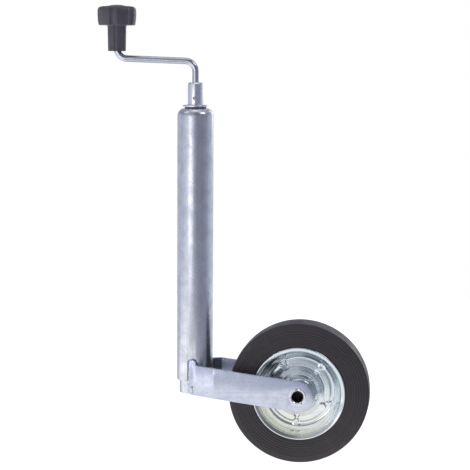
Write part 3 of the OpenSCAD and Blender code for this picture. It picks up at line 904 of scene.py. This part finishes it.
def armOutline():
    # the arm seen from the side, as (x, z)
    shape = armShape
    low, high = nodeBox("fork_arm_front")
    half = high.x - hub.x
    nose = shape["noseRadius"]
    corner = shape["rootCorner"]
    slope = math.radians(shape["slope"])
    rise = half / math.cos(slope) + (hub.x - shape["creaseX"]) * math.tan(slope)
    root = shape["rootBottom"]
    outline = arc(low.x + nose, high.z - nose, nose, 180, 0, 16)
    neck = shape["neckRadius"]
    outline += arc(low.x + 2 * nose + neck, high.z - nose - 1, neck, 180, 275, 8)
    outline += [Vector((shape["creaseX"] - 8, hub.z + rise + 0.5)),
                Vector((shape["creaseX"], hub.z + rise))]
    outline += arc(hub.x, hub.z, half, 90 - shape["slope"], -90 - shape["slope"], 40)
    outline += [Vector((shape["creaseX"], root))]
    outline += arc(low.x + corner, root + corner, corner, 270, 180, 8)
    return outline


def armFace(x):
    # y of the arm's outer face and its slope at x, with both bends rounded off
    shape = armShape
    straight = nodeBox("fork_arm_front")[0].y
    nose = -(nodeBox("inner_tube")[1].x + shape["thickness"])
    slant = (straight - nose) / (shape["creaseX"] - shape["flareX"])

    def ramp(t, reach):
        # 0 before, t after, with a smooth bend between
        if t < -reach:
            return 0.0, 0.0
        if t > reach:
            return t, 1.0
        return (t + reach) ** 2 / (4 * reach), (t + reach) / (2 * reach)

    up, upSlope = ramp(x - shape["flareX"], shape["bendReach"])
    down, downSlope = ramp(x - shape["creaseX"], shape["bendReach"])
    return nose + slant * (up - down), slant * (upSlope - downSlope)


def makeArm(name, node, side):
    shape = armShape
    thick = shape["thickness"]
    bm = extruded(armOutline(), thick)
    roundEdges(bm, lambda edge: abs(edge.verts[0].co.z - edge.verts[1].co.z) < 1e-4, shape["edge"], 3)
    for middle in (shape["flareX"], shape["creaseX"]):
        for step in range(-4, 5):
            cut = middle + step * shape["bendReach"] / 4
            bmesh.ops.bisect_plane(bm, geom=bm.verts[:] + bm.edges[:] + bm.faces[:], dist=1e-5,
                                   plane_co=(cut, 0, 0), plane_no=(1, 0, 0))
    hole = rod(shape["axleHole"], shape["holeReach"], 64)
    bm = cutBy(bm, [placed(hole, Matrix.Translation((hub.x, hub.z, 0)))])
    for vertex in bm.verts:
        x, z, inward = vertex.co
        y, slope = armFace(x)
        normal = Vector((-slope, 1)).normalized()
        vertex.co = (x + normal.x * inward, side * (y + normal.y * inward), z)
    finishPiece(bm, name, "inner", zincFork, [node], onTube, 42)


makeArm("forkArmFront", "fork_arm_front", 1)
makeArm("forkArmRear", "fork_arm_rear", -1)
print("fork arms made")


beadRipple = {"depth": 0.07, "pitch": 1.6, "steps": 30}
weldSpots = [{"x": -1.0, "y": -23.9, "low": -203.5, "high": -197.5, "radius": 2.1},
             {"x": -6.2, "y": -20.6, "low": -203.5, "high": -194.5, "radius": 1.5},
             {"x": 5.6, "y": -20.9, "low": -204.5, "high": -194.5, "radius": 1.9}]


def bead(spot, side):
    # a rippled capsule standing in the corner
    steps = beadRipple["steps"]
    outline = []
    length = spot["high"] - spot["low"] + 2 * spot["radius"]
    for i in range(steps + 1):
        t = i / steps
        height = spot["low"] - spot["radius"] + length * t
        over = max(0.0, spot["low"] - height, height - spot["high"])
        radius = math.sqrt(max(0.0, spot["radius"] ** 2 - over ** 2))
        wave = 0.5 + 0.5 * math.cos(height * math.tau / beadRipple["pitch"])
        ripple = 1 - beadRipple["depth"] * wave
        outline.append(Vector((0 if i in (0, steps) else radius * ripple, height)))
    bm = lathe(outline, 20, False)
    return placed(bm, Matrix.Translation((spot["x"], side * spot["y"], 0)))


beads = [bead(spot, side) for spot in weldSpots for side in (1, -1)]
finishPiece(joined(beads), "weldBeads", "inner", weldZinc, ["weld_beads"], onTube, 60)
print("welds made")


axleShape = {"radius": 10, "bore": 7.5, "flare": 11.3, "flareHeight": 1.3, "stakes": (90, 180, 310),
             "stakeDepth": 0.7}


def makeAxle():
    shape = axleShape
    end = nodeBox("axle")[1].y
    face = end - shape["flareHeight"]
    half = roundedOutline([(shape["bore"], 0, 0), (shape["bore"], end - 1.2, 1.0),
                           (shape["bore"] + 1.3, end, 0.7), (shape["flare"], end, 0.9),
                           (shape["flare"], face, 0.2), (shape["radius"], face, 0.1),
                           (shape["radius"], 0, 0)], False, 4)
    outline = half[1:-1] + [Vector((r, -z)) for r, z in reversed(half[1:-1])]

    def staked(radius, height, angle):
        # punch marks that spread the flared rim
        press = 0.0
        for stake in shape["stakes"]:
            away = math.degrees(abs((angle - math.radians(stake) + math.pi) % math.tau - math.pi))
            press = max(press, 1 - away / 13)
        if press > 0 and radius > shape["radius"] - 1 and abs(height) > face + 0.4:
            sink = shape["stakeDepth"] * min(1.0, press * 1.6)
            return radius, height - math.copysign(sink, height)
        return radius, height

    finishPiece(lathe(outline, 96, True, staked), "axle", "inner", axleZinc, ["axle"],
                onAxle)


hubShape = {"spacerBore": 10.04, "spacerRadius": 15.5, "tubeBore": 12.5, "tubeRadius": 15,
            "bushBore": 10.08, "bushRadius": 12.46, "bushFlange": 14.5, "bushLength": 18, "washerGap": 0.3,
            "segments": 72}


def makeHubParts():
    # spacers against the arms, bushes in the hub tube
    shape = hubShape
    segments = shape["segments"]
    spacerEnd = nodeBox("axle_spacers")[1].y
    flange = -nodeBox("bush_front")[0].y
    half = nodeBox("hub_tube")[1].y
    bore = shape["spacerBore"]
    radius = shape["spacerRadius"]
    inboard = flange + shape["washerGap"]
    spacer = roundedOutline([(bore, inboard, 0.2), (radius, inboard, 0.5),
                             (radius, spacerEnd, 0.5), (bore, spacerEnd, 0.2)])
    rings = [placed(lathe(spacer, segments), Matrix.Diagonal((1, 1, side, 1))) for side in (1, -1)]
    finishPiece(joined(rings), "axleSpacers", "inner", machinedSteel, ["axle_spacers"],
                onAxle)
    bore = shape["tubeBore"]
    radius = shape["tubeRadius"]
    pipe = roundedOutline([(bore, -half, 0.3), (radius, -half, 0.4), (radius, half, 0.4),
                           (bore, half, 0.3)])
    finishPiece(lathe(pipe, segments), "hubTube", "wheel", machinedSteel, ["hub_tube"],
                onAxle)
    bore = shape["bushBore"]
    radius = shape["bushRadius"]
    start = half - shape["bushLength"]
    end = half + 0.02
    bush = roundedOutline([(bore, start, 0.2), (radius, start, 0.6), (radius, end, 0),
                           (shape["bushFlange"], end, 0.4), (shape["bushFlange"], flange, 0.5),
                           (bore, flange, 0.3)])
    for name, node, place in (("bushFront", "bush_front", onAxle),
                              ("bushRear", "bush_rear", onAxle @ flipped)):
        finishPiece(lathe(bush, segments), name, "wheel", whiteNylon, [node], place)


makeAxle()
makeHubParts()
print("axle and hub made")


rimShape = {"sheet": 2, "joints": 5, "firstJoint": 48.6, "padInner": 32.7, "padOuter": 41.5,
            "padRise": 1.5, "padWall": 2.2, "padGap": 2.9, "tongueRadius": 44.2, "tongueLength": 6,
            "tongueWidth": 8, "tongueRise": 0.5, "bowlFoot": 44.5, "bowlReach": 11.5, "bowlDepth": 19,
            "flatStart": 32, "flatEnd": 44, "flatStep": 0.5, "reliefInner": 29.5,
            "reliefOuter": 49.5, "segments": 300}
# sections of the rim from the hub outward, as (radius, height, corner radius)
domeSection = [(15.06, 33, 0), (17.4, 33, 0.8), (20.8, 31.8, 3), (23.2, 28, 4), (24.6, 21, 7),
               (25.6, 12, 7), (26.8, 6.6, 1.8), (28.1, 6.1, 0.5), (28.5, 4.9, 0.5), (29.6, 4.6, 0.4),
               (30, 3.5, 0.4), (31, 3.2, 0.4), (31.4, 2, 0.4), (32, 2, 0)]
crestSection = [(56, 20.5, 0), (56.1, 22.4, 1.2), (60.8, 24.4, 1.4)]


def bowlPoint(angle):
    # the rim's bowl, an elliptic arc from its foot outward, as (radius, height)
    angle = math.radians(angle)
    return Vector((rimShape["bowlFoot"] + rimShape["bowlReach"] * math.sin(angle),
                   rimShape["sheet"] + rimShape["bowlDepth"] * (1 - math.cos(angle))))


def offsetLine(points, distance):
    # points moved sideways, to the right of the way they run
    moved = []
    for i, point in enumerate(points):
        ahead = points[min(i + 1, len(points) - 1)] - points[max(i - 1, 0)]
        moved.append(point + Vector((ahead.y, -ahead.x)).normalized() * distance)
    return moved


def roundBox(along, across, halfLength, halfWidth, corner):
    # signed distance to a rounded rectangle
    dx = abs(along) - halfLength + corner
    dy = abs(across) - halfWidth + corner
    outside = math.hypot(max(dx, 0), max(dy, 0))
    return outside + min(max(dx, dy), 0) - corner


def fadeIn(distance, soft):
    t = min(1.0, max(0.0, 0.5 - distance / soft))
    return t * t * (3 - 2 * t)


def rimRelief(radius, angle):
    # pressed pads and joint tabs on the flat of the rim
    shape = rimShape
    if not shape["reliefInner"] <= radius <= shape["reliefOuter"]:
        return 0.0
    pitch = 360 / shape["joints"]
    fromJoint = (math.degrees(angle) - shape["firstJoint"] + pitch / 2) % pitch - pitch / 2
    fromMiddle = pitch / 2 - abs(fromJoint)
    padRadius = (shape["padInner"] + shape["padOuter"]) / 2
    padHalf = (shape["padOuter"] - shape["padInner"]) / 2
    along = math.radians(fromMiddle) * padRadius
    reach = math.radians(pitch / 2 - shape["padGap"]) * padRadius
    inPad = roundBox(along, radius - padRadius, reach, padHalf, padHalf - 0.1)
    relief = shape["padRise"] * fadeIn(inPad, shape["padWall"])
    across = math.radians(fromJoint) * shape["tongueRadius"]
    inTongue = roundBox(across, radius - shape["tongueRadius"], shape["tongueWidth"] / 2,
                        shape["tongueLength"] / 2, 1.2)
    return relief + shape["tongueRise"] * fadeIn(inTongue, 1.0)


def makeRimHalf(name, node, place):
    shape = rimShape
    low, high = nodeBox(node)
    lip = (high.x - low.x) / 2
    front = roundedOutline(domeSection, False, 6)
    start = shape["flatStart"]
    step = shape["flatStep"]
    steps = int((shape["flatEnd"] - start) / step)
    front += [Vector((start + step * i, shape["sheet"])) for i in range(1, steps + 1)]
    front += [bowlPoint(angle) for angle in range(0, 80, 4)]
    front += roundedOutline(crestSection + [(lip, 23.6, 1.0), (lip, 21.3, 0)], False, 5)
    back = offsetLine(front, shape["sheet"])
    bulge = ((0.25, 0.35), (0.5, 0.5), (0.75, 0.35))
    edgeRound = [front[-1].lerp(back[-1], t) - Vector((0, depth)) for t, depth in bulge]
    keep = [p for i, p in enumerate(back) if i % 3 == 0 or p.x > 44 or p.x < 30]
    outline = front + edgeRound + list(reversed([Vector((p.x, max(p.y, 0.02))) for p in keep]))
    faceHeights = {(round(p.x, 4), round(p.y, 4)) for p in front}

    def pressed(radius, height, angle):
        if (round(radius, 4), round(height, 4)) in faceHeights:
            return radius, height + rimRelief(radius, angle)
        return radius, height

    finishPiece(lathe(outline, shape["segments"], True, pressed), name, "wheel", zincRim,
                [node], place, 50)


jointShape = {"circle": 40.5, "shank": 1.98, "head": 2.8, "crown": 2.2, "seat": 2.5, "top": 3.0,
              "centre": 3.1, "segments": 28}


def makeRimJoints():
    # clinched buttons that hold the halves together, set in the tabs
    shape = jointShape
    upper = [(shape["shank"], shape["seat"], 0), (shape["head"], shape["seat"], 0.3),
             (shape["crown"], shape["top"], 0.8), (0, shape["centre"], 0)]
    outline = roundedOutline([(r, -z, edge) for r, z, edge in reversed(upper)] + upper, False, 4)
    parts = []
    for i in range(rimShape["joints"]):
        angle = math.radians(rimShape["firstJoint"] + 360 / rimShape["joints"] * i)
        where = Matrix.Rotation(angle, 4, "Z") @ Matrix.Translation((shape["circle"], 0, 0))
        parts.append(placed(lathe(outline, shape["segments"], False), where))
    finishPiece(joined(parts), "rimRivets", "wheel", zincRim, ["rim_rivets"], onAxle)


makeRimHalf("rimFront", "rim_front", onAxle)
makeRimHalf("rimRear", "rim_rear", onAxle @ flipped)
makeRimJoints()
print("rim made")


tyreShape = {"sideGap": 0.5, "ringRadii": (66, 69, 72.2, 75.4, 79, 82.2, 85.4), "ringWidth": 1.0,
             "ringRise": 0.45, "shoulder": 2.6, "seatOffset": 2.1, "wellRadius": 58.2,
             "wellHeight": 20.4, "segments": 200}


def makeTyre():
    shape = tyreShape
    low, high = nodeBox("tyre")
    rimLow, rimHigh = nodeBox("rim_front")
    radius = (high.x - low.x) / 2
    half = (high.y - low.y) / 2
    lip = (rimHigh.x - rimLow.x) / 2 + 0.3
    flat = half - shape["sideGap"]
    well = shape["wellHeight"]
    side = [(lip, well, 0), (lip, flat - 0.8, 0), (lip + 1.0, flat, 0.8)]
    for ring in shape["ringRadii"]:
        reach = shape["ringWidth"]
        side += [(ring - reach, flat, 0.3), (ring - reach / 3, flat + shape["ringRise"], 0.3),
                 (ring + reach / 3, flat + shape["ringRise"], 0.3), (ring + reach, flat, 0.3)]
    side += [(radius - shape["shoulder"], flat, 0.4), (radius - 1.5, flat - 0.7, 1.0),
             (radius - 0.7, flat - 2.4, 1.5), (radius - 0.1, 2, 0), (radius - 0.1, 1.1, 0.2),
             (radius, 0.4, 0.2), (radius, 0, 0)]
    seat = offsetLine([bowlPoint(angle) for angle in range(30, 80, 9)], shape["seatOffset"])
    upper = [Vector((seat[0].x, 0))] + seat + [Vector((shape["wellRadius"], well))]
    upper += roundedOutline(side, False, 3)
    outline = upper + [Vector((r, -z)) for r, z in reversed(upper[1:-1])]
    finishPiece(lathe(outline, shape["segments"]), "tyre", "wheel", tyreRubber, ["tyre"],
                onAxle)


makeTyre()
print("tyre made")


keptFinishes = {"upper_race": bearingSteel, "lower_race": bearingSteel, "bearing_cage": brassCage,
                "bearing_balls": bearingSteel, "stop_collar": machinedSteel, "stop_pin": springSteel,
                "knob_retainer": springSteel, "spindle_nut": machinedSteel, "nut_pins": springSteel}
for node, material in keptFinishes.items():
    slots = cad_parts[node].data.materials
    slots.clear()
    slots.append(material)
print("kept nodes finished")


# brightness round the object: degrees from straight ahead, to the right positive
glowRamp = [(-180, 0.68), (-150, 0.62), (-125, 0.56), (-100, 0.55), (-84, 0.53), (-68, 0.62), (-45, 0.75),
            (-10, 0.7), (4, 0.34), (14, 0.25), (60, 0.25), (80, 0.3), (100, 0.44), (125, 0.62),
            (150, 0.72), (180, 0.68)]
studio = {"floorRadius": 3, "windDown": 0.221, "cardRadius": 1.35, "overhead": 1.0, "upperDim": 0.6,
          "coolDark": 0.34, "paperGlow": 0.92, "mirrorGlow": 1.7}
floorSpots = [
    {"at": (-0.72, -0.24, 0), "near": 0.34, "far": 0.55, "level": 1.45},
    {"at": (-0.36, -0.98, 0), "near": 0.2, "far": 0.36, "level": 0.12},
    {"at": (0.12, -0.92, 0), "near": 0.1, "far": 0.22, "level": 0.8},
    {"at": (-0.08, -0.22, 0), "near": 0.26, "far": 0.46, "level": 0.95},
]


def makeStudioGlow():
    # the level of the studio's walls in each direction, bluish where it is dark
    group, take, give = newGroup("studioGlow", [("Direction", "Vector", (0, -1, 0))], [("Color", "Color")])
    parts = addNode(group, "ShaderNodeSeparateXYZ", {0: take["Direction"]}).outputs
    around = calc(group, "ARCTAN2", parts[0], calc(group, "MULTIPLY", parts[1], -1))
    position = spread(group, around, -math.pi, math.pi, smooth=False)
    ramp = addNode(group, "ShaderNodeValToRGB", {"Fac": position})
    ramp.color_ramp.interpolation = "EASE"
    stops = ramp.color_ramp.elements
    stops.remove(stops[0])
    for i, (angle, level) in enumerate(glowRamp):
        stop = stops[0] if i == 0 else stops.new(1.0)
        stop.position = (angle + 180) / 360
        cool = studio["coolDark"] * (1 - level)
        stop.color = (level * (1 - 0.3 * cool), level, level * (1 + cool), 1)
    group.links.new(ramp.outputs["Color"], give["Color"])
    return group


studioGlow = makeStudioGlow()


def makeDisc(name, radius, height, material):
    bm = bmesh.new()
    bmesh.ops.create_circle(bm, cap_ends=True, segments=96, radius=radius)
    mesh = meshFrom(name, bm)
    mesh.materials.append(material)
    disc = linked(name, mesh)
    disc.location = (hub.x / 2000, 0, height)
    return disc


def makeFloor():
    # plain pale paper, low enough for the wheel wound right down; metal mirrors the walls' levels in it
    material, tree, shader = newMaterial("paleFloor", Roughness=0.85, Specular_IOR_Level=0.2)
    shader.inputs["Emission Color"].default_value = (1, 1, 1, 1)
    shader.inputs["Emission Strength"].default_value = studio["paperGlow"]
    paper = useGroup(tree, mouldedGrain, Grain=500, Clouds=3, Dark=(0.52, 0.52, 0.52, 1),
                     Light=(0.55, 0.55, 0.55, 1))
    tree.links.new(paper["Color"], shader.inputs["Base Color"])
    where = objectSpace(tree)
    glow = useGroup(tree, studioGlow, Direction=where)["Color"]
    glowing = {"Color": glow, "Strength": studio["mirrorGlow"]}
    mirrored = addNode(tree, "ShaderNodeEmission", glowing).outputs[0]
    direct = addNode(tree, "ShaderNodeLightPath").outputs["Is Camera Ray"]
    mixed = addNode(tree, "ShaderNodeMixShader", {0: direct, 1: mirrored, 2: shader.outputs[0]}).outputs[0]
    tree.links.new(mixed, tree.nodes["Material Output"].inputs["Surface"])
    makeDisc("floor", studio["floorRadius"], cadBox[0].z - studio["windDown"], material)


def makeBounceCard():
    # what the metal mirrors from below: lit paper that fades into the walls; the camera
    # looks through it, and so does what is wound down below it
    material, tree = newMaterial("bounceCard")[:2]
    where = objectSpace(tree)
    faded = useGroup(tree, studioGlow, Direction=where)["Color"]
    for spot in floorSpots:
        away = vectorCalc(tree, "DISTANCE", where, spot["at"])
        level = (spot["level"], spot["level"], spot["level"], 1)
        faded = mixColor(tree, spread(tree, away, spot["near"], spot["far"]), level, faded)
    bounced = addNode(tree, "ShaderNodeEmission", {"Color": faded}).outputs[0]
    clear = addNode(tree, "ShaderNodeBsdfTransparent").outputs[0]
    under = addNode(tree, "ShaderNodeNewGeometry").outputs["Backfacing"]
    oneSided = addNode(tree, "ShaderNodeMixShader", {0: under, 1: bounced, 2: clear}).outputs[0]
    tree.links.new(oneSided, tree.nodes["Material Output"].inputs["Surface"])
    card = makeDisc("bounceCard", studio["cardRadius"], cadBox[0].z - 0.0002, material)
    card.visible_camera = False


def makeRoom():
    # a soft white tent that is darker at the front right; the camera sees plain white
    world = bpy.data.worlds.new("studio")
    bpy.context.scene.world = world
    world.use_nodes = True
    tree = world.node_tree
    tree.nodes.clear()
    heading = addNode(tree, "ShaderNodeTexCoord").outputs["Generated"]
    height = addNode(tree, "ShaderNodeSeparateXYZ", {0: heading}).outputs[2]
    glow = useGroup(tree, studioGlow, Direction=heading)["Color"]
    top = studio["overhead"]
    dim = studio["upperDim"]
    dimmed = mixColor(tree, 1.0, glow, (dim, dim, dim * 1.04, 1), "MULTIPLY")
    upper = mixColor(tree, spread(tree, height, 0.08, 0.4), glow, dimmed)
    wall = mixColor(tree, spread(tree, height, 0.9, 0.985), upper, (top, top, top * 1.05, 1))
    lit = addNode(tree, "ShaderNodeBackground", {"Color": wall, "Strength": 1.0}).outputs[0]
    seen = addNode(tree, "ShaderNodeBackground", {"Color": (1, 1, 1, 1), "Strength": 1.0}).outputs[0]
    camera = addNode(tree, "ShaderNodeLightPath").outputs["Is Camera Ray"]
    mixed = addNode(tree, "ShaderNodeMixShader", {0: camera, 1: lit, 2: seen}).outputs[0]
    addNode(tree, "ShaderNodeOutputWorld", {"Surface": mixed})


softboxes = [
    {"name": "leftSoftbox", "azimuth": -23.5, "distance": 2.2, "middle": -0.01, "aim": -0.01, "width": 0.95,
     "height": 0.42, "radiance": 1.45},
    {"name": "backSoftbox", "azimuth": 150, "distance": 2.2, "middle": 0.85, "aim": 0.85, "width": 0.5,
     "height": 1.5, "radiance": 1.3},
    {"name": "rightSoftbox", "azimuth": 66, "distance": 1.5, "middle": 1.6, "aim": 0, "width": 0.95,
     "height": 0.8, "radiance": 2.2},
    {"name": "highSoftbox", "azimuth": -75, "distance": 1.3, "middle": 1.7, "aim": 0, "width": 0.6,
     "height": 0.6, "radiance": 1.5},
]


def makeLights():
    for box in softboxes:
        lamp = bpy.data.lights.new(box["name"], "AREA")
        lamp.shape = "RECTANGLE"
        lamp.size = box["width"]
        lamp.size_y = box["height"]
        lamp.energy = box["radiance"] * math.pi * lamp.size * lamp.size_y
        item = linked(box["name"], lamp)
        angle = math.radians(box["azimuth"])
        spot = Vector((math.sin(angle), -math.cos(angle), 0)) * box["distance"]
        item.location = spot + Vector((0, 0, box["middle"]))
        item.rotation_mode = "QUATERNION"
        item.rotation_quaternion = (item.location - Vector((0, 0, box["aim"]))).to_track_quat("Z", "Y")
        item.visible_camera = False


cameraView = {"azimuth": 6.12, "elevation": 6.18, "roll": 0.3, "distance": 2.1, "lens": 120.92,
              "aim": (0.0009, 0, -0.0007)}


def makeCamera():
    view = cameraView
    data = bpy.data.cameras.new("camera")
    data.lens = view["lens"]
    data.sensor_width = 36
    data.clip_start = 0.1
    camera = linked("camera", data)
    across = math.radians(view["azimuth"])
    up = math.radians(view["elevation"])
    back = Vector((math.sin(across) * math.cos(up), -math.cos(across) * math.cos(up), math.sin(up)))
    camera.location = (cadBox[0] + cadBox[1]) / 2 + Vector(view["aim"]) + back * view["distance"]
    camera.rotation_mode = "QUATERNION"
    roll = Quaternion((0, 0, 1), math.radians(view["roll"]))
    camera.rotation_quaternion = (-back).to_track_quat("-Z", "Y") @ roll
    bpy.context.scene.camera = camera


makeFloor()
makeBounceCard()
makeRoom()
makeLights()
makeCamera()
bpy.context.scene.view_settings.view_transform = "Standard"
print("studio made")
